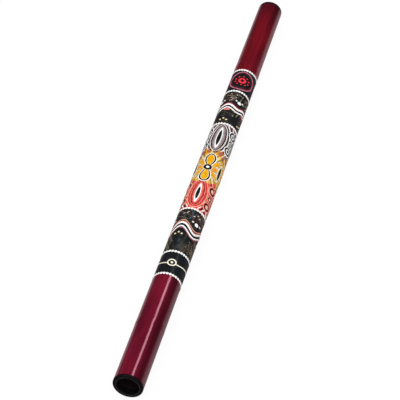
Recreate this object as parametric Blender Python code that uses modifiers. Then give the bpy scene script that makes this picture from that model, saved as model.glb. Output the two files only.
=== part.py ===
"""A didgeridoo: a straight bamboo tube that lies on its side, with a wax mouthpiece and a rubber bell ring.

The tube's axis runs along +Y, from the wide bell end to the narrow mouth end. The origin is on the
surface that the instrument lies on, under the middle of its length. Lengths are in metres.
"""

import math

import bpy

# Driving dimensions
LENGTH = 1.199
BELL_DIAMETER = 0.0608
MOUTH_DIAMETER = 0.0544
CULM_WALL_AT_BELL = 0.0070
CULM_WALL_AT_MOUTH = 0.0080

# Bamboo joints: a faint swelling outside, and the rim of the bored-out wall inside
JOINT_HEIGHTS = (0.155, 0.430, 0.700, 0.965)
SWELLING = 0.0003
SWELLING_REACH = 0.016
RIM_RISE = 0.0014
RIM_REACH = 0.006

# Mouthpiece: a rounded lip on the end of the culm, and a skirt that lines the bore
LIP_THICKNESS = 0.0050
MOUTH_HOLE_DIAMETER = 0.0300
LIP_OUTER_ROUNDING = 0.0018
LIP_INNER_ROUNDING = 0.0038
SKIRT_DEPTH = 0.0140
SKIRT_FLARE = 0.0020
SKIRT_ROUNDING = 0.0005

# Bell ring: a rounded flange on the cut end, and a short collar inside the bore
FLANGE_THICKNESS = 0.0045
FLANGE_OUTER_ROUNDING = 0.0028
FLANGE_INNER_ROUNDING = 0.0016
BELL_HOLE_DIAMETER = 0.0438
COLLAR_DEPTH = 0.0090

RING_INSET = 0.0001
GAP = 0.0003
MERGE = 0.0001
SEGMENTS = 48
ARC_STEPS = 5

BELL_RADIUS = BELL_DIAMETER / 2
MOUTH_RADIUS = MOUTH_DIAMETER / 2
CULM_BOTTOM = FLANGE_THICKNESS + GAP
CULM_TOP = LENGTH - LIP_THICKNESS - GAP

COLOURS = {
    "lacquered_bamboo": ((0.150, 0.008, 0.016, 1.0), 0.22),
    "black_wax": ((0.012, 0.011, 0.012, 1.0), 0.45),
    "black_rubber": ((0.016, 0.016, 0.018, 1.0), 0.55),
}


def clear_scene():
    for thing in list(bpy.data.objects):
        bpy.data.objects.remove(thing, do_unlink=True)


def make_material(name):
    colour, roughness = COLOURS[name]
    material = bpy.data.materials.new(name)
    material.use_nodes = True
    shader = material.node_tree.nodes["Principled BSDF"]
    shader.inputs["Base Color"].default_value = colour
    shader.inputs["Roughness"].default_value = roughness
    shader.inputs["Metallic"].default_value = 0.0
    return material


def hump(distance, reach):
    """A smooth rise from 0 at reach to 1 at no distance."""
    if abs(distance) >= reach:
        return 0.0
    return 0.5 + 0.5 * math.cos(math.pi * distance / reach)


def joint_profile(height, reach):
    return sum(hump(height - joint, reach) for joint in JOINT_HEIGHTS)


def taper(height):
    """The outer radius of the tube, without its swellings."""
    return BELL_RADIUS + (MOUTH_RADIUS - BELL_RADIUS) * height / LENGTH


def outer_radius(height):
    return taper(height) + SWELLING * joint_profile(height, SWELLING_REACH)


def plain_bore_radius(height):
    wall = CULM_WALL_AT_BELL + (CULM_WALL_AT_MOUTH - CULM_WALL_AT_BELL) * height / LENGTH
    return taper(height) - wall


def bore_radius(height):
    return plain_bore_radius(height) - RIM_RISE * joint_profile(height, RIM_REACH)


def heights_along_culm(reach):
    """From the bell end to the mouth end, with extra heights where a joint bends the profile."""
    heights = [CULM_BOTTOM, CULM_TOP]
    for joint in JOINT_HEIGHTS:
        heights += [joint + reach * share for share in (-1.0, -0.5, 0.0, 0.5, 1.0)]
    return sorted(heights)


def rounded(corners):
    """A closed outline from (radius, height, rounding) corners, each rounding made an arc."""
    outline = []
    count = len(corners)
    for index, (r, z, rounding) in enumerate(corners):
        if rounding == 0.0:
            outline.append((r, z))
            continue
        before = corners[index - 1]
        after = corners[(index + 1) % count]
        to_before = math.atan2(before[1] - z, before[0] - r)
        to_after = math.atan2(after[1] - z, after[0] - r)
        half = math.remainder(to_after - to_before, math.tau) / 2
        reach = rounding / math.sin(abs(half))
        centre_r = r + reach * math.cos(to_before + half)
        centre_z = z + reach * math.sin(to_before + half)
        swing = math.copysign(math.pi / 2 - abs(half), -half)
        for step in range(ARC_STEPS + 1):
            share = 2 * step / ARC_STEPS - 1
            direction = to_before + half + math.pi + share * swing
            arc_r = centre_r + rounding * math.cos(direction)
            arc_z = centre_z + rounding * math.sin(direction)
            outline.append((arc_r, arc_z))
    return outline


def turned(name, outline, material, collection, axis):
    """A closed (radius, height) outline, its outer side running down, turned about the tube's axis."""
    points = [(r, 0.0, z) for r, z in outline]
    edges = [(i, (i + 1) % len(points)) for i in range(len(points))]
    mesh = bpy.data.meshes.new(name)
    mesh.from_pydata(points, edges, [])
    mesh.materials.append(material)
    piece = bpy.data.objects.new(name, mesh)
    collection.objects.link(piece)
    piece.parent = axis
    screw = piece.modifiers.new("turn", "SCREW")
    screw.axis = "Z"
    screw.angle = math.tau
    screw.steps = SEGMENTS
    screw.render_steps = SEGMENTS
    screw.use_merge_vertices = True
    screw.merge_threshold = MERGE
    screw.use_smooth_shade = True
    return piece


def culm_outline():
    outside = [(outer_radius(z), z) for z in reversed(heights_along_culm(SWELLING_REACH))]
    inside = [(bore_radius(z), z) for z in heights_along_culm(RIM_REACH)]
    return outside + inside


def mouthpiece_outline():
    """A lip as wide as the culm's end, whose skirt reaches into the bore and flares at its bottom."""
    outside = MOUTH_RADIUS - RING_INSET
    hole = MOUTH_HOLE_DIAMETER / 2
    lip_bottom = CULM_TOP + GAP
    skirt_bottom = CULM_TOP - SKIRT_DEPTH
    skirt_outside = bore_radius(CULM_TOP) - GAP
    return rounded(
        [
            (outside, LENGTH, LIP_OUTER_ROUNDING),
            (outside, lip_bottom, 0.0),
            (skirt_outside, lip_bottom, 0.0),
            (skirt_outside, skirt_bottom, SKIRT_ROUNDING),
            (hole + SKIRT_FLARE, skirt_bottom, SKIRT_ROUNDING),
            (hole, lip_bottom, 0.0),
            (hole, LENGTH, LIP_INNER_ROUNDING),
        ]
    )


def bell_ring_outline():
    """A flange as wide as the culm's end, with a collar up into the bore."""
    outside = BELL_RADIUS - RING_INSET
    hole = BELL_HOLE_DIAMETER / 2
    flange_top = CULM_BOTTOM - GAP
    collar_top = CULM_BOTTOM + COLLAR_DEPTH
    collar_outside = bore_radius(collar_top) - GAP
    return rounded(
        [
            (outside, flange_top, 0.0),
            (outside, 0.0, FLANGE_OUTER_ROUNDING),
            (hole, 0.0, FLANGE_INNER_ROUNDING),
            (hole, collar_top, 0.0),
            (collar_outside, collar_top, 0.0),
            (collar_outside, flange_top, 0.0),
        ]
    )


def main():
    clear_scene()
    collection = bpy.data.collections.new("didgeridoo")
    bpy.context.scene.collection.children.link(collection)

    axis = bpy.data.objects.new("tube_axis", None)
    axis.empty_display_type = "SINGLE_ARROW"
    axis.location = (0.0, -LENGTH / 2, BELL_RADIUS)
    axis.rotation_euler = (-math.pi / 2, 0.0, 0.0)
    collection.objects.link(axis)

    turned("bamboo_culm", culm_outline(), make_material("lacquered_bamboo"), collection, axis)
    turned("mouthpiece", mouthpiece_outline(), make_material("black_wax"), collection, axis)
    turned("bell_ring", bell_ring_outline(), make_material("black_rubber"), collection, axis)


main()
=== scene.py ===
"""The looks of a painted bamboo didgeridoo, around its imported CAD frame.

The tube lies along +Y with its bell end towards -Y. The paint is real, raised geometry laid on the tube.
Art coordinates are millimetres: s is the arc length round the tube, to the right from the line that faces
the camera or from a section's own turn of it, z is the height above ART_START, and lift is the thickness of
paint over the bamboo.
"""

import math

import bpy
import numpy as np
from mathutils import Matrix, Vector


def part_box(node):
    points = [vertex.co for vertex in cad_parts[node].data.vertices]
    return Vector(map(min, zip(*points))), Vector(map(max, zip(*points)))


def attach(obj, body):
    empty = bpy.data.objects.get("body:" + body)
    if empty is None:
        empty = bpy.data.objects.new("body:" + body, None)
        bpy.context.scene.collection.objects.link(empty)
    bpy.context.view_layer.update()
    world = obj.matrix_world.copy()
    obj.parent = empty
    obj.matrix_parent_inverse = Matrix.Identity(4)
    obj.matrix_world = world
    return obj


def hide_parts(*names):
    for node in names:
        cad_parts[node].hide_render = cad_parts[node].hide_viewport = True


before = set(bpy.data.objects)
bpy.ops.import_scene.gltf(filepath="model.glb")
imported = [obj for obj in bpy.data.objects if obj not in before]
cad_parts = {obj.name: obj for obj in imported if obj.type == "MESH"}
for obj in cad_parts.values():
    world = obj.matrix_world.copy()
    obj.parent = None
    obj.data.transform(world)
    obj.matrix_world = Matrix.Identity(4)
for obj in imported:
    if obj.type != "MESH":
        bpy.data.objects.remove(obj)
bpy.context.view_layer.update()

MM = 0.001

# ---------------------------------------------------------------- sizes read from the frame

BELL_LOW, BELL_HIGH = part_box("bell_ring")
AXIS_HEIGHT = (BELL_LOW.z + BELL_HIGH.z) / 2
BELL_Y = BELL_LOW.y
LENGTH = (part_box("mouthpiece")[1].y - BELL_Y) / MM


def turned_sizes(node):
    """The radii and the ends of a turned CAD node, in millimetres: (inner, outer, low z, high z)."""
    points = np.array([v.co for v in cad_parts[node].data.vertices])
    radii = np.hypot(points[:, 0], points[:, 2] - AXIS_HEIGHT) / MM
    along = (points[:, 1] - BELL_Y) / MM
    return radii.min(), radii.max(), along.min(), along.max()


BELL_HOLE, BELL_RADIUS, _, COLLAR_TOP = turned_sizes("bell_ring")
MOUTH_HOLE, MOUTH_RADIUS, SKIRT_BOTTOM, _ = turned_sizes("mouthpiece")
_, _, CULM_BOTTOM, CULM_TOP = turned_sizes("bamboo_culm")

# Bamboo joints, at the CAD culm's places, and its wall
JOINTS = (155.0, 430.0, 700.0, 965.0)
SWELLING, SWELLING_REACH = 0.35, 16.0
RIM_RISE, RIM_REACH = 1.4, 6.0
WALL_AT_BELL, WALL_AT_MOUTH = 7.0, 8.0
UNEVEN, UNEVEN_FADE = 0.10, 30.0
GAP = 0.3

FRONT = math.radians(15.13)
ART_START = 2.0
AROUND = 256
ANGLES = np.linspace(0.0, math.tau, AROUND, endpoint=False)
CULM_STEP = 8.0
SMOOTH_ANGLE = math.radians(40.0)

# ---------------------------------------------------------------- the tube's surface


def hump(distance, reach):
    """A smooth rise from 0 at reach to 1 at no distance."""
    return np.where(np.abs(distance) < reach, 0.5 + 0.5 * np.cos(np.pi * distance / reach), 0.0)


def taper(z):
    return BELL_RADIUS + (MOUTH_RADIUS - BELL_RADIUS) * z / LENGTH


def surface_radius(z, angle):
    """The culm's outer radius: a taper, a swelling at each joint, and the slight unevenness of bamboo."""
    joints = sum(SWELLING * hump(z - joint, SWELLING_REACH) for joint in JOINTS)
    fade = np.clip(np.minimum(z - CULM_BOTTOM, CULM_TOP - z) / UNEVEN_FADE, 0.0, 1.0)
    uneven = np.sin(2 * angle + z / 190.0) + np.sin(3 * angle - z / 83.0 + 1.3)
    return taper(z) + joints + UNEVEN * fade * uneven


def bore_radius(z):
    wall = WALL_AT_BELL + (WALL_AT_MOUTH - WALL_AT_BELL) * z / LENGTH
    return taper(z) - wall - sum(RIM_RISE * hump(z - joint, RIM_REACH) for joint in JOINTS)


def from_polar(radius, angle, z):
    """World points, in metres, from a radius and an angle about the tube's axis, 0 at the top."""
    x = radius * np.sin(angle)
    up = radius * np.cos(angle)
    return np.stack([x * MM, BELL_Y + z * MM, AXIS_HEIGHT + up * MM], axis=-1)


def on_tube(points, turn):
    """World points from (s, z, lift) art points, turned round the tube by an angle."""
    s, z, lift = points[:, 0], points[:, 1], points[:, 2]
    angle = FRONT + turn + s / taper(z)
    height = z + ART_START
    return from_polar(surface_radius(height, angle) + lift, angle, height)


def around(z):
    """The tube's outer circumference."""
    return math.tau * taper(z)


# ---------------------------------------------------------------- mesh helpers


def make_object(name, points, faces, material, replaced=None):
    """A piece on the root body, in place of a CAD node if it replaces one."""
    mesh = bpy.data.meshes.new(name)
    mesh.from_pydata(np.asarray(points, float).tolist(), [], faces)
    mesh.materials.append(material)
    mesh.shade_smooth()
    mesh.set_sharp_from_angle(angle=SMOOTH_ANGLE)
    piece = bpy.data.objects.new(name, mesh)
    bpy.context.scene.collection.objects.link(piece)
    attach(piece, "root")
    if replaced:
        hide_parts(replaced)
    return piece


def grid_faces(rows, columns, close_rows=False):
    """Quads of a grid of points whose columns run round and close on themselves."""
    faces = []
    for row in range(rows if close_rows else rows - 1):
        low = row * columns
        high = (row + 1) % rows * columns
        for column in range(columns):
            beside = (column + 1) % columns
            faces.append((low + column, low + beside, high + beside, high + column))
    return faces


def turned_points(profile, lumps):
    """A closed profile of (radius, z) points turned about the axis, row by row, with lumps on its radius."""
    return np.concatenate([from_polar(r + lumps(ANGLES, z), ANGLES, np.full(AROUND, z)) for r, z in profile])


def arc(centre_r, centre_z, size, start, end, steps=8):
    """Points of a round edge in a turned profile, angles in degrees."""
    angles = np.radians(np.linspace(start, end, steps + 1))
    return [(centre_r + size * math.cos(a), centre_z + size * math.sin(a)) for a in angles]


# ---------------------------------------------------------------- materials


class Nodes:
    """A Principled material and short ways to add nodes to it."""

    def __init__(self, name, roughness, coat=0.0, coat_roughness=0.1, specular=0.5):
        self.material = bpy.data.materials.new(name)
        self.material.use_nodes = True
        self.tree = self.material.node_tree
        self.shader = self.tree.nodes["Principled BSDF"]
        self.shader.inputs["Roughness"].default_value = roughness
        self.shader.inputs["Coat Weight"].default_value = coat
        self.shader.inputs["Coat Roughness"].default_value = coat_roughness
        self.shader.inputs["Specular IOR Level"].default_value = specular
        self.place = self.tree.nodes.new("ShaderNodeTexCoord").outputs["Object"]

    def link(self, output, target):
        self.tree.links.new(output, target)

    def noise(self, scale, stretch=(1.0, 1.0, 1.0), detail=3.0, roughness=0.55, distortion=0.0):
        """Noise with its own scale in each direction, one feature about 1/scale metres across."""
        mapping = self.tree.nodes.new("ShaderNodeMapping")
        mapping.inputs["Scale"].default_value = stretch
        self.link(self.place, mapping.inputs["Vector"])
        noise = self.tree.nodes.new("ShaderNodeTexNoise")
        noise.inputs["Scale"].default_value = scale
        noise.inputs["Detail"].default_value = detail
        noise.inputs["Roughness"].default_value = roughness
        noise.inputs["Distortion"].default_value = distortion
        self.link(mapping.outputs["Vector"], noise.inputs["Vector"])
        return noise.outputs["Fac"]

    def ramp(self, factor, stops):
        """A colour ramp of (position, colour) stops."""
        ramp = self.tree.nodes.new("ShaderNodeValToRGB")
        elements = ramp.color_ramp.elements
        while len(elements) < len(stops):
            elements.new(0.5)
        for element, (position, colour) in zip(elements, stops):
            element.position = position
            element.color = (*colour, 1.0)
        self.link(factor, ramp.inputs["Fac"])
        return ramp.outputs["Color"]

    def mix(self, factor, first, second, blend="MIX"):
        """Mixes two colours. Each is an output or a plain colour, and so is the factor."""
        mix = self.tree.nodes.new("ShaderNodeMix")
        mix.data_type = "RGBA"
        mix.blend_type = blend
        # The node has sockets for every type of data: its colours are inputs 6 and 7, and output 2
        for socket, value in ((mix.inputs[0], factor), (mix.inputs[6], first), (mix.inputs[7], second)):
            if isinstance(value, bpy.types.NodeSocket):
                self.link(value, socket)
            elif isinstance(value, tuple):
                socket.default_value = (*value, 1.0)
            else:
                socket.default_value = value
        return mix.outputs[2]

    def remap(self, value, low, high, to_low, to_high):
        """Takes a value from one range to another."""
        remap = self.tree.nodes.new("ShaderNodeMapRange")
        limits = {"From Min": low, "From Max": high, "To Min": to_low, "To Max": to_high}
        for socket, limit in limits.items():
            remap.inputs[socket].default_value = limit
        self.link(value, remap.inputs["Value"])
        return remap.outputs["Result"]

    def axis_of_place(self, axis):
        """One coordinate of the place, in metres. Y runs along the tube, 0 at its middle."""
        parts = self.tree.nodes.new("ShaderNodeSeparateXYZ")
        self.link(self.place, parts.inputs["Vector"])
        return parts.outputs[axis]

    def distance_from_axis(self):
        """The distance from the tube's axis, in metres."""
        flat = self.tree.nodes.new("ShaderNodeMapping")
        flat.inputs["Location"].default_value = (0.0, 0.0, -AXIS_HEIGHT)
        flat.inputs["Scale"].default_value = (1.0, 0.0, 1.0)
        self.link(self.place, flat.inputs["Vector"])
        length = self.tree.nodes.new("ShaderNodeVectorMath")
        length.operation = "LENGTH"
        self.link(flat.outputs["Vector"], length.inputs[0])
        return length.outputs["Value"]

    def colour(self, output):
        self.link(output, self.shader.inputs["Base Color"])

    def roughness(self, output):
        self.link(output, self.shader.inputs["Roughness"])

    def bump(self, height, strength, distance):
        bump = self.tree.nodes.new("ShaderNodeBump")
        bump.inputs["Strength"].default_value = strength
        bump.inputs["Distance"].default_value = distance
        self.link(height, bump.inputs["Height"])
        self.link(bump.outputs["Normal"], self.shader.inputs["Normal"])


WHITE = (1.0, 1.0, 1.0)
NOTHING = (0.0, 0.0, 0.0)
FIBRES = (1.0, 0.03, 1.0)
LONG_FIBRES = (1.0, 0.008, 1.0)
COAT_GLOSS = {"coat": 0.12, "coat_roughness": 0.16, "specular": 0.1}


def lacquered_bamboo():
    """Bamboo under a translucent lacquer.

    It is wine at the bell and redder at the mouth. On the bell half it is darker on the right side, a painted
    shade, and towards the mouth end it turns lighter and then darker.
    """
    n = Nodes("lacquered_bamboo", roughness=0.22, coat=1.0, coat_roughness=0.06, specular=1.0)
    n.shader.inputs["Specular Tint"].default_value = (1.0, 0.12, 0.30, 1.0)
    fibres = n.noise(420.0, FIBRES, detail=4.0, roughness=0.6)
    streaks = n.noise(120.0, LONG_FIBRES)
    clouds = n.noise(22.0, (1.0, 0.30, 1.0), detail=2.0)
    wine = n.ramp(
        streaks, [(0.30, (0.105, 0.003, 0.014)), (0.52, (0.145, 0.005, 0.021)), (0.72, (0.190, 0.008, 0.030))]
    )
    red = n.ramp(
        streaks, [(0.30, (0.105, 0.002, 0.007)), (0.52, (0.145, 0.003, 0.010)), (0.72, (0.200, 0.006, 0.016))]
    )
    along = n.axis_of_place("Y")
    to_mouth = n.remap(along, -0.10, 0.35, 0.0, 1.0)
    base = n.mix(to_mouth, wine, red)
    fine = n.ramp(fibres, [(0.38, (0.84, 0.80, 0.82)), (0.60, WHITE)])
    base = n.mix(1.0, base, fine, "MULTIPLY")
    depth = n.ramp(
        clouds, [(0.36, (0.66, 0.60, 0.66)), (0.50, (0.98, 0.95, 0.95)), (0.64, (1.36, 1.25, 1.34))]
    )
    base = n.mix(1.0, base, depth, "MULTIPLY")
    # Painted shade: on the bell half the colour darkens towards the right side, where the light falls off
    across = n.remap(n.axis_of_place("X"), -0.03, 0.03, 0.0, 1.0)
    painted_shade_right = n.ramp(across, [(0.62, WHITE), (0.72, (0.54, 0.46, 0.50)), (0.82, (0.32, 0.25, 0.29))])
    base = n.mix(1.0, base, n.mix(to_mouth, painted_shade_right, WHITE), "MULTIPLY")
    # Lighter where the mouth section starts, then darker towards the mouth end
    at_mouth = n.remap(along, 0.34, 0.60, 0.0, 1.0)
    mouth_end_tone = n.ramp(at_mouth, [
        (0.0, (1.22, 1.1, 1.1)), (0.35, (1.0, 0.9, 0.9)), (0.65, (0.90, 0.8, 0.8)), (0.95, (0.44, 0.4, 0.44)),
    ])
    n.colour(n.mix(1.0, base, mouth_end_tone, "MULTIPLY"))
    n.roughness(n.remap(fibres, 0.3, 0.7, 0.17, 0.28))
    n.bump(fibres, 0.25, 0.00025)
    return n.material


def stained_shaded_bore():
    """The inside of the culm, stained black, with the grain of the reamed wood.
    Its near-black colour is partly painted shade, standing in for the dark deep inside the bore.
    """
    n = Nodes("black_stained_and_shaded_bore", roughness=0.85, specular=0.15)
    fibres = n.noise(500.0, FIBRES, detail=4.0)
    # Painted shade in part: the bore's colour is kept near black to stand in for the shade inside the tube
    n.colour(n.ramp(fibres, [(0.35, (0.003, 0.002, 0.002)), (0.70, (0.020, 0.006, 0.008))]))
    n.bump(fibres, 0.6, 0.0006)
    return n.material


def moulded_black(name, dark, light, roughness, specular, hole, outside):
    """Wax or rubber, mottled, with fine pores, handling marks in the gloss, and a paler band near the inner
    edge, a painted highlight.
    """
    n = Nodes(name, roughness=roughness, specular=specular)
    mottling = n.noise(160.0, detail=4.0)
    pores = n.noise(1600.0, detail=2.0)
    smears = n.noise(55.0, (1.0, 1.0, 2.2), distortion=0.8)
    plain = n.ramp(mottling, [(0.30, dark), (0.72, light)])
    # Painted highlight: a paler ring on the face near the inner edge, where the rounded rim would catch the
    # light
    painted_highlight = n.ramp(mottling, [(0.30, (0.012, 0.012, 0.013)), (0.72, (0.030, 0.030, 0.032))])
    out = n.remap(n.distance_from_axis(), hole * MM, outside * MM, 0.0, 1.0)
    highlight_ring = n.ramp(out, [(0.06, NOTHING), (0.20, WHITE), (0.42, NOTHING)])
    n.colour(n.mix(highlight_ring, plain, painted_highlight))
    n.roughness(n.remap(smears, 0.35, 0.65, roughness - 0.10, roughness + 0.12))
    n.bump(n.mix(0.4, mottling, pores), 0.35, 0.0004)
    return n.material


def paint(name, colour, shade, tint):
    """Hand-laid acrylic: its colour runs from shade to tint with the brush, under a thin satin lacquer."""
    n = Nodes(name, roughness=0.40, **COAT_GLOSS)
    brush = n.noise(260.0, (1.0, 0.45, 1.0), detail=4.0, roughness=0.6, distortion=0.4)
    grain = n.noise(1900.0, detail=2.0)
    n.colour(n.ramp(brush, [(0.30, shade), (0.50, colour), (0.72, tint)]))
    n.roughness(n.remap(grain, 0.3, 0.7, 0.32, 0.50))
    n.bump(n.mix(0.35, brush, grain), 0.30, 0.00030)
    return n.material


def mottled_black(name, cool, warm, most):
    """A dark band: blue-black paint, with smudges of two colours where the bamboo shows through."""
    n = Nodes(name, roughness=0.38, **COAT_GLOSS)
    smudges = n.noise(75.0, (1.0, 0.55, 1.0), detail=6.0, roughness=0.68, distortion=0.6)
    warmth = n.noise(24.0, detail=2.0)
    grain = n.noise(1500.0, detail=2.0)
    under = n.ramp(warmth, [(0.42, cool), (0.58, warm)])
    open_ground = n.remap(n.noise(14.0, detail=1.0), 0.40, 0.60, 0.15, 1.0)
    patches = n.remap(smudges, 0.48, 0.68, 0.0, most)
    amount = n.mix(1.0, patches, open_ground, "MULTIPLY")
    n.colour(n.mix(amount, (0.0085, 0.0110, 0.0125), under))
    n.roughness(n.remap(grain, 0.3, 0.7, 0.32, 0.48))
    n.bump(n.mix(0.4, smudges, grain), 0.25, 0.00030)
    return n.material


# Each paint's material slot, colour, shade and tint
PAINTS = {
    "white": ("white_paint", (0.92, 0.91, 0.89), (0.82, 0.80, 0.78), (0.97, 0.97, 0.96)),
    "cream": ("white_paint", (0.82, 0.71, 0.43), (0.68, 0.55, 0.29), (0.92, 0.84, 0.60)),
    "ivory": ("white_paint", (0.93, 0.92, 0.72), (0.82, 0.81, 0.58), (0.98, 0.98, 0.88)),
    "black": ("black_paint", (0.0085, 0.0095, 0.0110), (0.004, 0.004, 0.005), (0.020, 0.021, 0.023)),
    "red": ("red_paint", (0.63, 0.038, 0.030), (0.47, 0.018, 0.016), (0.78, 0.100, 0.075)),
    "sign_red": ("red_paint", (0.80, 0.022, 0.045), (0.66, 0.012, 0.028), (0.90, 0.070, 0.090)),
    "wine": ("red_paint", (0.085, 0.010, 0.016), (0.045, 0.006, 0.009), (0.150, 0.024, 0.032)),
    "pink": ("pink_paint", (0.75, 0.180, 0.145), (0.63, 0.095, 0.080), (0.87, 0.35, 0.30)),
    "rose": ("pink_paint", (0.36, 0.075, 0.120), (0.25, 0.040, 0.075), (0.48, 0.140, 0.195)),
    "lilac": ("pink_paint", (0.48, 0.125, 0.200), (0.34, 0.070, 0.125), (0.62, 0.260, 0.345)),
    "peach": ("pink_paint", (0.85, 0.50, 0.36), (0.73, 0.35, 0.24), (0.92, 0.66, 0.53)),
    "blush": ("pink_paint", (0.66, 0.49, 0.46), (0.52, 0.34, 0.33), (0.80, 0.68, 0.64)),
    "mauve": ("grey_paint", (0.250, 0.160, 0.168), (0.150, 0.090, 0.097), (0.370, 0.265, 0.270)),
    "plum": ("grey_paint", (0.075, 0.042, 0.055), (0.040, 0.020, 0.030), (0.130, 0.080, 0.098)),
    "silver": ("grey_paint", (0.700, 0.665, 0.655), (0.560, 0.515, 0.510), (0.820, 0.795, 0.790)),
    "ash": ("grey_paint", (0.340, 0.312, 0.322), (0.220, 0.195, 0.205), (0.480, 0.450, 0.460)),
    "gold": ("yellow_paint", (0.71, 0.465, 0.038), (0.59, 0.345, 0.022), (0.81, 0.60, 0.105)),
    "yellow": ("yellow_paint", (0.75, 0.365, 0.004), (0.66, 0.25, 0.003), (0.82, 0.46, 0.012)),
    "amber": ("orange_paint", (0.77, 0.30, 0.006), (0.67, 0.200, 0.004), (0.84, 0.40, 0.016)),
    "rust": ("orange_paint", (0.42, 0.125, 0.050), (0.28, 0.070, 0.032), (0.56, 0.21, 0.095)),
    "olive": ("yellow_paint", (0.165, 0.150, 0.085), (0.095, 0.085, 0.050), (0.270, 0.250, 0.150)),
    "moss": ("yellow_paint", (0.034, 0.032, 0.020), (0.020, 0.019, 0.013), (0.060, 0.056, 0.036)),
    "slate": ("black_paint", (0.042, 0.057, 0.063), (0.020, 0.028, 0.032), (0.080, 0.100, 0.108)),
    "tan": ("orange_paint", (0.250, 0.165, 0.115), (0.150, 0.095, 0.066), (0.390, 0.285, 0.210)),
}

# ---------------------------------------------------------------- raised paint

SUNK = -0.15
EDGE = 0.10
COAT = 0.12
STEP = 0.10
PATCH_STEP = 3.0
BAND_STEP = 6.0

# A bead's section from side to side, as (share of the half width, share of the height); None is sunk
BEAD = ((-1.0, None), (-0.86, 0.45), (-0.5, 0.88), (0.0, 1.0), (0.5, 0.88), (0.86, 0.45), (1.0, None))
# A drop's rings from its foot to its crown, as (share of the radius, share of the height)
DROP = ((1.0, 0.15), (0.72, 0.72), (0.35, 0.95))

_paint = {}


def add_paint(section, colour, points, faces, turn):
    """Collects one closed raised shape in the object of its section and colour."""
    store = _paint.setdefault((section, colour), {"points": [], "faces": [], "count": 0})
    first = store["count"]
    store["points"].append(on_tube(points, turn))
    store["faces"] += [tuple(first + index for index in face) for face in faces]
    store["count"] += len(points)


def with_lift(flat, lift):
    return np.column_stack([flat, np.full(len(flat), lift)])


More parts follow.
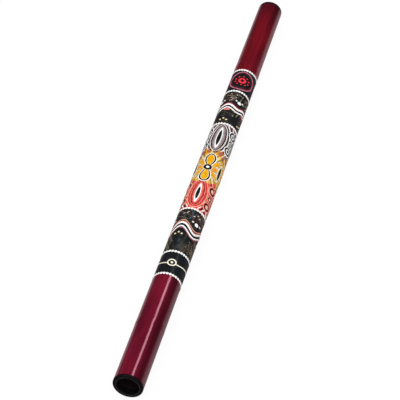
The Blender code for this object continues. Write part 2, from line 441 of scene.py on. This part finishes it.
class Section:
    """A stretch of the painting. Its shapes go on the tube at one turn, and each colour is one object."""

    def __init__(self, name, turn=0.0):
        self.name = name
        self.turn = turn

    def band(self, colour, low, high, lift=COAT):
        """A coat of paint all the way round."""
        rows = max(2, int((high - low) / BAND_STEP))
        heights = np.linspace(low, high, rows)
        top = [(low, SUNK), (low, lift - EDGE)] + [(z, lift) for z in heights[1:-1]] + [(high, lift - EDGE)]
        rim = top + [(high, SUNK)] + [(z, SUNK) for z in heights[::-1][1:-1]]
        ones = np.ones(AROUND)
        circles = [np.column_stack([ANGLES * taper(z), z * ones, up * ones]) for z, up in rim]
        faces = grid_faces(len(rim), AROUND, close_rows=True)
        add_paint(self.name, colour, np.concatenate(circles), faces, 0.0)

    def blob(self, colour, outline, centre, lift):
        """A patch inside a closed outline that its centre sees all of, with a soft edge."""
        outline = np.asarray(outline, float)
        centre = np.asarray(centre, float)
        arms = outline - centre
        lengths = np.hypot(arms[:, 0], arms[:, 1])
        steps = max(2, math.ceil(lengths.max() / PATCH_STEP))
        shares = np.arange(1, steps) / steps
        inner = np.clip(1.0 - 1.2 * EDGE / lengths, 0.5, 1.0)[:, None]
        top = [with_lift(centre + arms * inner * share, lift) for share in shares]
        top.append(with_lift(centre + arms * inner, lift))
        edge = [with_lift(outline, lift - EDGE), with_lift(outline, SUNK)]
        under = [with_lift(centre + arms * share, SUNK) for share in shares[::-1]]
        rings = top + edge + under
        points = np.concatenate(rings + [with_lift(centre[None], lift), with_lift(centre[None], SUNK)])
        count = len(outline)
        faces = [face[::-1] for face in grid_faces(len(rings), count)]
        first, last = len(rings) * count, len(rings) * count + 1
        for i in range(count):
            j = (i + 1) % count
            faces.append((first, i, j))
            faces.append((last, (len(rings) - 1) * count + j, (len(rings) - 1) * count + i))
        add_paint(self.name, colour, points, faces, self.turn)

    def line(self, colour, path, width, lift, height=0.35, closed=False):
        """A bead of paint along a path, round in section, with round ends."""
        path = np.asarray(path, float)
        if closed:
            ahead, behind = np.roll(path, -1, 0), np.roll(path, 1, 0)
        else:
            ahead, behind = np.vstack([path[1:], path[-1:]]), np.vstack([path[:1], path[:-1]])
        tangent = ahead - behind
        whole = around(path[:, 1])
        tangent[:, 0] -= whole * np.round(tangent[:, 0] / whole)
        tangent /= np.hypot(tangent[:, 0], tangent[:, 1])[:, None]
        side = np.column_stack([tangent[:, 1], -tangent[:, 0]])
        half = np.full(len(path), width / 2)
        if not closed:
            run = np.concatenate([[0.0], np.cumsum(np.hypot(*np.diff(path, axis=0).T))])
            near_end = np.clip(np.minimum(run, run[-1] - run) / (width / 2), 0.0, 1.0)
            half = half * np.sqrt(np.clip(1.0 - (1.0 - near_end) ** 2, 0.01, 1.0))
        columns = []
        for across, rise in BEAD:
            flat = path + side * (half * across)[:, None]
            up = np.full(len(path), SUNK) if rise is None else lift + height * rise * half / (width / 2)
            columns.append(np.column_stack([flat, up]))
        count = len(BEAD)
        points = np.stack(columns, axis=1).reshape(-1, 3)
        faces = grid_faces(len(path), count, close_rows=closed)
        if not closed:
            faces.append(tuple(reversed(range(count))))
            faces.append(tuple(range((len(path) - 1) * count, len(path) * count)))
        add_paint(self.name, colour, points, faces, self.turn)

    def dots(self, colour, centres, radius, lift, height=0.55, sides=10):
        """Round drops of paint."""
        angles = np.linspace(0.0, math.tau, sides, endpoint=False)
        circle = np.column_stack([np.cos(angles), np.sin(angles)])
        for centre in np.asarray(centres, float):
            rings = [with_lift(centre + circle * radius, SUNK)]
            rings += [with_lift(centre + circle * radius * out, lift + up * height) for out, up in DROP]
            points = np.concatenate(rings + [with_lift(centre[None], lift + height)])
            faces = grid_faces(len(rings), sides)
            tip, crown = len(rings) * sides, (len(rings) - 1) * sides
            faces += [(crown + i, crown + (i + 1) % sides, tip) for i in range(sides)]
            faces.append(tuple(reversed(range(sides))))
            add_paint(self.name, colour, points, faces, self.turn)

    def nest(self, centre, rings, heading=90.0, lean=0.0, point=0.0, lift=COAT):
        """Leaves or circles inside one another: (colour, half width, half length) from the outside in."""
        for level, (colour, half_width, half_length) in enumerate(rings):
            outline = leaf(centre, half_width, half_length, heading, lean, point)
            self.blob(colour, outline, centre, lift + (level + 1) * STEP)


# ---------------------------------------------------------------- outlines and paths

POINTS_PER_MM, FEWEST_POINTS, MOST_POINTS = 2.2, 20, 96
STRAIGHT_STEP, WAVE_STEP = 1.5, 1.1
ROUND_POINTS = 240


def leaf(centre, half_width, half_length, heading=90.0, lean=0.0, point=0.0):
    """A closed outline: an oval at point 0, an almond at point 1. A lean above 0 makes its far end wider."""
    count = int(np.clip(POINTS_PER_MM * (half_width + half_length), FEWEST_POINTS, MOST_POINTS))
    t = np.linspace(0.0, math.tau, count, endpoint=False)
    along = half_length * np.cos(t)
    across = half_width * np.sin(t) * np.abs(np.sin(t)) ** point * (1.0 + lean * np.cos(t))
    a = math.radians(heading)
    s = centre[0] + along * math.cos(a) - across * math.sin(a)
    z = centre[1] + along * math.sin(a) + across * math.cos(a)
    return np.column_stack([s, z])


def oval_ring(centre, half_width, half_height):
    return leaf(centre, half_height, half_width, heading=0.0)


def straight(start, end):
    length = math.dist(start, end)
    share = np.linspace(0.0, 1.0, max(5, int(length / STRAIGHT_STEP)))[:, None]
    return np.asarray(start) * (1 - share) + np.asarray(end) * share


def wave(start, end, crest, height, swing, length):
    """A path that swings above and below a height, with a crest at one place."""
    s = np.linspace(start, end, int((end - start) / WAVE_STEP))
    return np.column_stack([s, height + swing * np.cos(math.tau * (s - crest) / length)])


def wave_round(height, swing, count, crest):
    """A closed path round the whole tube, in a number of waves, with a crest at one place."""
    angle = np.linspace(-math.pi, math.pi, ROUND_POINTS, endpoint=False)
    z = height + swing * np.cos(count * (angle - crest / taper(height)))
    return np.column_stack([angle * taper(z), z])


def spokes(centre, count, inner, outer):
    """Straight paths out from a centre, each from an inner to an outer (half width, half height) oval."""
    paths = []
    for index in range(count):
        angle = math.tau * (index + 0.5) / count
        ends = [(centre[0] + w * math.cos(angle), centre[1] + h * math.sin(angle)) for w, h in (inner, outer)]
        paths.append(straight(*ends))
    return paths


def clipped(path, low, high):
    """The stretches of a path between two heights and within its own third of the tube."""
    path = np.asarray(path, float)
    inside = (path[:, 1] > low) & (path[:, 1] < high) & (np.abs(path[:, 0]) < HALF_THIRD)
    stretches, current = [], []
    for point, keep in zip(path, inside):
        if keep:
            current.append(point)
        elif current:
            stretches.append(current)
            current = []
    stretches.append(current)
    return [np.array(stretch) for stretch in stretches if len(stretch) > 3]


# ---------------------------------------------------------------- the tube and its two ends


def add_culm():
    outside = [CULM_BOTTOM, CULM_TOP]
    outside += list(np.arange(CULM_BOTTOM + CULM_STEP, CULM_TOP - CULM_STEP / 2, CULM_STEP))
    for joint in JOINTS:
        outside += list(joint + SWELLING_REACH * np.linspace(-1.0, 1.0, 13))
    inside = list(np.linspace(CULM_BOTTOM, CULM_TOP, 30))
    for joint in JOINTS:
        inside += list(joint + RIM_REACH * np.linspace(-1.0, 1.0, 7))
    rows = [(z, surface_radius(z, ANGLES)) for z in sorted(outside)]
    wall = len(rows)
    rows += [(z, np.full(AROUND, bore_radius(z))) for z in sorted(inside, reverse=True)]
    points = np.concatenate([from_polar(radius, ANGLES, np.full(AROUND, z)) for z, radius in rows])
    faces = grid_faces(len(rows), AROUND, close_rows=True)
    lacquer = lacquered_bamboo()
    culm = make_object("bamboo_culm_body", points, faces, lacquer, "bamboo_culm")
    culm.data.materials.append(stained_shaded_bore())
    in_bore = [wall - 1 <= index // AROUND for index in range(len(faces))]
    culm.data.polygons.foreach_set("material_index", np.array(in_bore, np.int32))


def add_bell_ring():
    """A rounded black ring on the cut end, with a collar in the bore."""
    outer, inner = 2.8, 1.6
    top = CULM_BOTTOM - GAP
    collar = float(bore_radius(COLLAR_TOP)) - GAP
    profile = [(BELL_RADIUS, top)]
    profile += arc(BELL_RADIUS - outer, outer, outer, 0.0, -90.0)
    profile += arc(BELL_HOLE + inner, inner, inner, -90.0, -180.0)
    profile += [(BELL_HOLE, COLLAR_TOP), (collar, COLLAR_TOP), (collar, top)]
    rows = turned_points(profile, lambda a, z: 0.05 * np.sin(3 * a + 0.7) + 0.03 * np.sin(7 * a + z))
    faces = [face[::-1] for face in grid_faces(len(profile), AROUND, close_rows=True)]
    dark, light = (0.0015, 0.0015, 0.002), (0.005, 0.005, 0.006)
    rubber = moulded_black("bell_rubber", dark, light, 0.40, 0.08, BELL_HOLE, BELL_RADIUS)
    make_object("bell_ring_body", rows, faces, rubber, "bell_ring")


def add_mouthpiece():
    """A lip of black wax, pressed round by hand, with a skirt in the bore."""
    outer, inner, end = 1.8, 3.8, 0.5
    flare = 2.0
    lip_bottom = CULM_TOP + GAP
    skirt = float(bore_radius(CULM_TOP)) - GAP
    profile = arc(MOUTH_RADIUS - outer, LENGTH - outer, outer, 90.0, 0.0)
    profile += [(MOUTH_RADIUS, lip_bottom), (skirt, lip_bottom)]
    profile += arc(skirt - end, SKIRT_BOTTOM + end, end, 0.0, -90.0, 4)
    profile += arc(MOUTH_HOLE + flare + end, SKIRT_BOTTOM + end, end, -90.0, -180.0, 4)
    profile += [(MOUTH_HOLE, lip_bottom)]
    profile += arc(MOUTH_HOLE + inner, LENGTH - inner, inner, 180.0, 90.0)[1:]

    def lumps(angle, z):
        on_lip = np.clip((z - lip_bottom) / 1.0, 0.0, 1.0)
        return on_lip * (0.10 * np.sin(2 * angle + 0.4) + 0.06 * np.sin(5 * angle + z) - 0.12)

    rows = turned_points(profile, lumps)
    faces = [face[::-1] for face in grid_faces(len(profile), AROUND, close_rows=True)]
    dark, light = (0.002, 0.0015, 0.002), (0.006, 0.005, 0.005)
    wax = moulded_black("mouth_wax", dark, light, 0.34, 0.25, MOUTH_HOLE, MOUTH_RADIUS)
    make_object("mouthpiece_body", rows, faces, wax, "mouthpiece")
    edge = CULM_TOP - ART_START
    Section("mouth_edge").band("black", edge - 1.6, edge)


# ---------------------------------------------------------------- the painting

RING_HEIGHTS = (938.3, 863.9, 751.0, 475.2, 345.3, 280.9)
FLOWER_LOW, FLOWER_HIGH = 575.0, 655.0
DOT_PITCH, DOT_RADIUS = 6.3, 2.9
FRONT_AND_BACK = (0.0, math.pi)
SIDES = (math.pi / 2, -math.pi / 2)
# The motifs of the three fields stand three abreast round the tube, with this room on either side of each
THIRDS = tuple(math.radians(-13.0 + 120.0 * index) for index in range(3))
HALF_THIRD = 30.0
GOLDEN_RATIO = 0.6180340
GOLDEN_ANGLE = 137.5


def dabs(section, colour, places, length, width, heading):
    """Short brush marks."""
    for index, (s, z) in enumerate(places):
        angle = math.radians(heading + 11.0 * math.sin(2.3 * index))
        reach = length * (0.80 + 0.20 * math.sin(1.7 * index))
        step = (math.cos(angle) * reach / 2, math.sin(angle) * reach / 2)
        path = straight((s - step[0], z - step[1]), (s + step[0], z + step[1]))
        section.line(colour, path, width, COAT, height=0.12)


def speckle(section, colours, left, right, low, high, pitch, size):
    """Small dabs strewn evenly over a patch, in turns of several colours."""
    count = int((right - left) * (high - low) / pitch ** 2)
    for index in range(count):
        s = left + (right - left) * (index * GOLDEN_RATIO % 1.0)
        z = low + (high - low) * (index + 0.5) / count
        dabs(section, colours[index * 7 % len(colours)], [(s, z)], size * 2.2, size, GOLDEN_ANGLE * index)


def paint_dot_rings():
    """Rows of white dots on a white line, where one section meets the next."""
    for index, z in enumerate(RING_HEIGHTS):
        rings = Section(f"dot_ring_{index + 1}")
        rings.band("white", z - 0.7, z + 0.7, COAT + STEP)
        count = round(around(z) / DOT_PITCH)
        places = [(around(z) * i / count, z) for i in range(count)]
        rings.dots("white", places, DOT_RADIUS, COAT + STEP, height=0.8, sides=14)


def paint_badge():
    """A black band with a rounded badge and a plain sun sign, front and back, and dots between the two."""
    Section("badge_band").band("night_black", RING_HEIGHTS[1], RING_HEIGHTS[0])
    for turn in FRONT_AND_BACK:
        badge = Section("badge", turn)
        centre = (-3.0, 901.5)
        badge.line("lilac", oval_ring(centre, 28.5, 29.5), 3.2, COAT, closed=True)
        patches = (("wine", 25.6, 26.6), ("black", 23.0, 24.0), ("sign_red", 9.0, 8.8), ("black", 4.4, 4.2))
        for level, (colour, half_width, half_height) in enumerate(patches, start=1):
            badge.blob(colour, oval_ring(centre, half_width, half_height), centre, COAT + level * STEP)
        for ray in spokes(centre, 10, inner=(13.0, 12.0), outer=(18.0, 15.5)):
            badge.line("sign_red", ray, 4.4, COAT + 2 * STEP)
    for turn in SIDES:
        side = Section("badge_sides", turn)
        for s in (-7.0, 7.0):
            side.dots("rose", [(s, 901.0 + step) for step in (-18, -9, 0, 9, 18)], 1.6, COAT)


def paint_waves(part, height, swing, count, crest, stripes):
    """Stripes that swing round the whole tube together: (colour, drop below height, width, level)."""
    for colour, drop, width, level in stripes:
        path = wave_round(height - drop, swing, count, crest)
        part.line(colour, path, width, COAT + level * STEP, closed=True)


def paint_upper_wave():
    """White and red stripes in four waves round a black band, with drops in the troughs and brush marks."""
    low, high = RING_HEIGHTS[2], RING_HEIGHTS[1]
    Section("upper_wave_band").band("band_black", low, high)
    height, count, crest = 812.4, 4, -13.0
    stripes = (
        ("wine", -6.6, 5.0, 0), ("rose", -4.4, 2.6, 1), ("white", 0.0, 5.6, 2),
        ("black", 5.2, 4.6, 3), ("white", 9.6, 3.6, 2),
    )
    paint_waves(Section("upper_wave"), height, 4.5, count, crest, stripes)
    trough = around(height) / count / 2
    for index in range(count):
        part = Section("upper_wave", crest / taper(height) + math.tau * index / count)
        part.blob("moss", leaf((0.0, 774.0), 15.0, 17.0, 100.0), (0.0, 774.0), COAT)
        part.blob("pink", leaf((0.0, 800.5), 3.2, 7.5, 0.0), (0.0, 800.5), COAT + 3 * STEP)
        part.dots("white", [(trough, 829.0)], 4.6, COAT, sides=16)
        part.dots("white", [(trough - 8.0, 833.0), (trough + 8.0, 833.0)], 2.2, COAT)
        part.dots("cream", [(-7.0, 765.08), (0.0, 769.0), (7.0, 765.08)], 2.2, COAT + STEP)
        dabs(part, "tan", [(-8, 849), (3, 846), (18, 853)], 13.0, 2.8, -6.0)
        dabs(part, "blush", [(-2, 853), (1, 840), (11, 851)], 7.0, 2.0, -18.0)
        dabs(part, "olive", [(-19, 851), (-21, 840), (20, 797), (17, 784), (-18, 790)], 12.0, 3.2, 76.0)
        speckle(part, ("tan", "moss", "olive", "blush", "moss"), -13.0, 13.0, 828.0, 845.0, 3.6, 1.8)
        speckle(part, ("moss", "plum", "olive"), -10.0, 20.0, 776.0, 798.0, 4.4, 1.8)


def paint_lower_wave():
    """Three larger waves round the lower black band, with drops in the troughs and dense brush marks."""
    low, high = RING_HEIGHTS[4], RING_HEIGHTS[3]
    Section("lower_wave_band").band("band_black", low, high)
    height, count, crest = 420.8, 3, -15.0
    stripes = (
        ("peach", -8.5, 1.6, 1), ("wine", -5.7, 4.6, 0), ("pink", -4.4, 1.5, 1), ("white", 0.0, 5.4, 2),
        ("black", 5.8, 5.8, 3), ("white", 10.6, 3.8, 2), ("rose", 15.0, 2.0, 0),
    )
    paint_waves(Section("lower_wave"), height, 10.5, count, crest, stripes)
    trough = around(height) / count / 2
    mixed = ("tan", "plum", "moss", "olive", "moss", "wine")
    for index in range(count):
        part = Section("lower_wave", crest / taper(height) + math.tau * index / count)
        part.dots("white", [(trough, 437.0)], 4.8, COAT, sides=16)
        part.dots("blush", [(trough - 10.0, 440.0), (trough + 10.0, 440.0)], 2.8, COAT)
        part.dots("cream", [(-7.0, 398.08), (0.0, 402.0), (7.0, 398.08)], 2.2, COAT + STEP)
        part.blob("slate", leaf((8.0, 370.0), 13.0, 19.0, 80.0), (8.0, 370.0), COAT)
        dabs(part, "slate", [(14, 466), (15, 456), (12, 447), (0, 452)], 13.0, 5.0, 88.0)
        dabs(part, "blush", [(-4, 459), (4, 463), (19, 455), (27, 462), (-28, 458)], 8.0, 2.6, 38.0)
        speckle(part, mixed, -17.0, 11.0, 440.0, 471.0, 4.4, 2.0)
        speckle(part, mixed, 19.0, 43.0, 448.0, 471.0, 4.4, 2.0)
        speckle(part, ("tan", "olive", "moss"), -20.0, -8.0, 350.0, 398.0, 3.8, 2.2)
        speckle(part, ("tan", "moss", "plum", "olive"), 24.0, 40.0, 352.0, 388.0, 4.2, 2.2)


def paint_ring_line():
    """A narrow dark band with a cream line round it, and a ring with a dot on the line."""
    low, high = RING_HEIGHTS[5], RING_HEIGHTS[4]
    Section("ring_line_band").band("night_black", low, high)
    for turn in FRONT_AND_BACK:
        part = Section("ring_line", turn)
        centre = (-5.5, 313.0)
        reach = around(centre[1]) / 2
        part.line("ivory", oval_ring(centre, 8.4, 8.2), 2.9, COAT, closed=True)
        part.dots("ivory", [centre], 2.7, COAT, height=0.7, sides=16)
        start, end = centre[0] + 9.4, centre[0] + reach - 9.4
        path = wave(start, end, (start + end) / 2, 314.0, 3.3, end - start)
        part.line("ivory", path, 2.7, COAT)


def paint_leaf_field(name, low, high, middle, contours, leaf_rings, eye_rings, stone_rings):
    """Tall leaves with an eye, contour lines round them, and columns of ringed stones between them."""
    for turn in THIRDS:
        part = Section(name, turn)
        centre = (0.0, middle)
        for index in range(5):
            colour, width = contours[index % len(contours)]
            outline = leaf(centre, 24.6 + 4.4 * index, 51.0 + 8.5 * index, point=0.25)
            for path in clipped(outline, low, high):
                part.line(colour, path, width, COAT)
        part.nest(centre, leaf_rings, point=0.2)
        part.nest(centre, eye_rings, point=0.4, lift=COAT + 4 * STEP)
        for rise, scale in ((24.0, 1.0), (0.0, 0.62), (-24.0, 1.0)):
            rings = [(colour, size * scale, 1.12 * size * scale) for colour, size in stone_rings]
            part.nest((HALF_THIRD, middle + rise), rings, lift=COAT + 5 * STEP)


def paint_grey_field():
    """Mauve-grey ground with leaves, ringed stones and black and white contour lines."""
    low, high = FLOWER_HIGH, RING_HEIGHTS[2]
    Section("grey_field_ground").band("mauve", low, high)
    paint_leaf_field(
        "grey_field", low + 6, high - 3, 703.0,
        contours=(("white", 2.2), ("black", 4.0)),
        leaf_rings=[
            ("black", 22.4, 46.6), ("silver", 18.6, 44.4), ("black", 15.6, 42.6), ("mauve", 12.6, 40.6),
        ],
        eye_rings=[("ash", 9.2, 38.6), ("white", 5.8, 34.5), ("black", 4.0, 26.0)],
        stone_rings=(("white", 11.8), ("black", 10.0), ("silver", 6.2), ("black", 2.6)),
    )


def paint_flower():
    """Golden rosettes of eight petals on a burst of rays, with black almonds between them."""
    Section("flower_ground").band("gold", FLOWER_LOW, FLOWER_HIGH)
    for turn in THIRDS:
        ground = Section("flower_ground", turn)
        for colour, z, half_length, level in (
            ("rust", 644.0, 30.0, 0.6), ("gold", 627.0, 28.0, 1.0), ("gold", 586.0, 29.0, 1.0),
        ):
            ground.blob(colour, leaf((0.0, z), 29.5, half_length), (0.0, z), COAT + level * STEP)
        part = Section("flower", turn)
        heart = (0.0, 606.0)
        colours = ("cream", "rust", "yellow", "olive")
        for index, ray in enumerate(spokes(heart, 48, inner=(24.0, 28.0), outer=(62.0, 66.0))):
            for path in clipped(ray, FLOWER_LOW - 9.0, FLOWER_HIGH + 13.0):
                part.line(colours[index % len(colours)], path, 2.3, COAT + STEP)
        almond = [("cream", 6.2, 25.0), ("black", 3.6, 21.0)]
        part.nest((HALF_THIRD, heart[1]), almond, point=0.6, lift=COAT + 5 * STEP)
        for headings, half_width, half_length, edge, colour, level in (
            ((45, 135, 225, 315), 6.6, 14.0, 1.3, "yellow", 2),
            ((0, 180), 6.4, 9.0, 1.3, "amber", 4),
            ((90, 270), 8.0, 17.0, 3.0, "yellow", 6),
        ):
            for heading in headings:
                angle = math.radians(heading)
                reach = 6.5 + half_length
                place = (reach * math.cos(angle), heart[1] + reach * math.sin(angle))
                rings = [
                    ("white", half_width + edge + 1.8, half_length + edge + 1.8),
                    ("black", half_width + edge, half_length + edge),
                    ("cream", half_width, half_length), (colour, half_width - 1.2, half_length - 1.2),
                ]
                part.nest(place, rings, heading, lean=0.25, point=0.2, lift=COAT + level * STEP)
        eye = [("cream", 10.2, 10.2), ("black", 8.8, 8.8), ("white", 3.4, 3.4)]
        part.nest(heart, eye, lift=COAT + 9 * STEP)


def paint_red_field():
    """Red ground with leaves, ringed stones and pink contour lines, and slanting strokes along its foot."""
    low, high = RING_HEIGHTS[3], FLOWER_LOW
    Section("red_field_ground").band("red", low, high)
    paint_leaf_field(
        "red_field", low + 3, high - 2, 524.0,
        contours=(("pink", 2.2), ("wine", 1.8), ("peach", 2.4)),
        leaf_rings=[("peach", 21.6, 44.6), ("red", 19.6, 43.2), ("pink", 14.8, 39.4), ("wine", 12.8, 37.6)],
        eye_rings=[("red", 11.4, 36.4), ("pink", 8.4, 33.8), ("white", 5.4, 29.6), ("black", 3.5, 19.5)],
        stone_rings=(("peach", 11.4), ("red", 10.0), ("wine", 8.6), ("peach", 4.6)),
    )
    for turn in THIRDS:
        part = Section("red_field", turn)
        for side in (-1, 1):
            for index, colour in enumerate(("white", "black", "white", "black")):
                start = (side * (10.0 + 5.2 * index), low + 3.5)
                end = (side * (17.0 + 5.2 * index), low + 15.0)
                for path in clipped(straight(start, end), low, high):
                    part.line(colour, path, 2.4, COAT + 5 * STEP)


def finish_paint():
    """Makes one object of each section's shapes in each colour."""
    materials = {name: paint(f"paint_{name}", *PAINTS[name][1:]) for name in PAINTS}
    slots = {name: PAINTS[name][0] for name in PAINTS}
    for name, cool, warm, most in (
        ("band_black", (0.070, 0.074, 0.048), (0.130, 0.085, 0.058), 0.80),
        ("night_black", (0.016, 0.034, 0.036), (0.042, 0.028, 0.044), 0.90),
    ):
        materials[name] = mottled_black(name, cool, warm, most)
        slots[name] = "black_paint"
    for (section, colour), store in _paint.items():
        points = np.concatenate(store["points"])
        make_object(f"{section}.{colour}", points, store["faces"], materials[colour])


# ---------------------------------------------------------------- floor, lights and camera

FLOOR, FLOOR_SIZE = -0.0004, 30.0
FLOOR_GLOW = 0.92
FILL = 0.46
SURROUND = 0.03
BACKDROP = 1.0


def add_floor():
    """A pale floor just below the tube's paint.

    It glows to the camera, and is dim near the tube and dark further away in the tube's gloss.
    """
    mesh = bpy.data.meshes.new("studio_floor")
    corners = [(x * FLOOR_SIZE, y * FLOOR_SIZE, FLOOR) for x, y in ((-1, -1), (1, -1), (1, 1), (-1, 1))]
    mesh.from_pydata(corners, [], [(0, 1, 2, 3)])
    n = Nodes("studio_floor", roughness=0.9, specular=0.0)
    soft = n.noise(0.6, detail=1.0)
    pale = n.ramp(soft, [(0.3, (0.53, 0.53, 0.53)), (0.7, (0.545, 0.545, 0.545))])
    aside = n.tree.nodes.new("ShaderNodeMath")
    aside.operation = "ABSOLUTE"
    n.link(n.axis_of_place("X"), aside.inputs[0])
    dim = n.ramp(aside.outputs["Value"], [(0.10, (0.32, 0.24, 0.26)), (0.36, (0.02, 0.015, 0.017))])
    ray = n.tree.nodes.new("ShaderNodeLightPath").outputs
    reflecting = n.mix(ray["Is Glossy Ray"], pale, dim)
    n.colour(n.mix(ray["Is Camera Ray"], reflecting, (0.08, 0.08, 0.08)))
    n.link(n.mix(ray["Is Camera Ray"], NOTHING, WHITE), n.shader.inputs["Emission Color"])
    n.shader.inputs["Emission Strength"].default_value = FLOOR_GLOW
    mesh.materials.append(n.material)
    floor = bpy.data.objects.new("studio_floor", mesh)
    bpy.context.scene.collection.objects.link(floor)


def add_panel(name, place, aim, width, height, power, tint):
    """A rectangular soft light that faces a point."""
    light = bpy.data.lights.new(name, "AREA")
    light.shape = "RECTANGLE"
    light.size = width
    light.size_y = height
    light.energy = power
    light.color = tint
    panel = bpy.data.objects.new(name, light)
    panel.location = place
    panel.rotation_euler = (Vector(aim) - Vector(place)).to_track_quat("-Z", "Y").to_euler()
    bpy.context.scene.collection.objects.link(panel)


def add_soft_sun(name, direction, strength, spread):
    """Light from one side of the sky, even over the whole floor. The direction points to the light."""
    light = bpy.data.lights.new(name, "SUN")
    light.energy = strength
    light.angle = math.radians(spread)
    sun = bpy.data.objects.new(name, light)
    sun.rotation_euler = Vector(direction).to_track_quat("Z", "Y").to_euler()
    bpy.context.scene.collection.objects.link(sun)


def add_world():
    """Even light from the whole sky, which is dim in the gloss of the tube and pale behind it."""
    world = bpy.data.worlds.new("studio")
    world.use_nodes = True
    tree = world.node_tree
    path = tree.nodes.new("ShaderNodeLightPath")
    shader = tree.nodes["Background"]
    shader.inputs["Color"].default_value = (*WHITE, 1.0)
    shader.inputs["Strength"].default_value = FILL
    for ray, strength in (("Is Glossy Ray", SURROUND), ("Is Camera Ray", BACKDROP)):
        other = tree.nodes.new("ShaderNodeBackground")
        other.inputs["Color"].default_value = (*WHITE, 1.0)
        other.inputs["Strength"].default_value = strength
        choice = tree.nodes.new("ShaderNodeMixShader")
        tree.links.new(path.outputs[ray], choice.inputs["Fac"])
        tree.links.new(shader.outputs[0], choice.inputs[1])
        tree.links.new(other.outputs["Background"], choice.inputs[2])
        shader = choice
    tree.links.new(shader.outputs["Shader"], tree.nodes["World Output"].inputs["Surface"])
    bpy.context.scene.world = world


def add_lights():
    add_soft_sun("main_sun", direction=(0.10, -0.80, 1.55), strength=2.60, spread=90.0)
    add_panel(
        "key_strip", place=(0.90, 1.75, 2.39), aim=(0.0, -0.4, 0.03), width=0.55, height=0.8,
        power=6.0, tint=(1.0, 0.84, 0.89),
    )
    add_world()
    bpy.context.scene.view_settings.view_transform = "Standard"


def add_camera():
    """Above the bell end and a little to the right, far off with a long lens."""
    azimuth, elevation, distance = math.radians(14.45), math.radians(42.87), 4.2
    aim = Vector((-0.00524, -0.03133, -0.00049))
    back = Vector((
        math.sin(azimuth) * math.cos(elevation),
        -math.cos(azimuth) * math.cos(elevation),
        math.sin(elevation),
    ))
    lens = bpy.data.cameras.new("camera")
    lens.lens = 180.0
    lens.sensor_width = 36.0
    lens.clip_end = 100.0
    camera = bpy.data.objects.new("camera", lens)
    camera.location = aim + distance * back
    camera.rotation_euler = (-back).to_track_quat("-Z", "Y").to_euler()
    bpy.context.scene.collection.objects.link(camera)
    bpy.context.scene.camera = camera


def main():
    add_culm()
    add_bell_ring()
    add_mouthpiece()
    paint_dot_rings()
    paint_badge()
    paint_upper_wave()
    paint_grey_field()
    paint_flower()
    paint_red_field()
    paint_lower_wave()
    paint_ring_line()
    finish_paint()
    add_floor()
    add_lights()
    add_camera()


main()
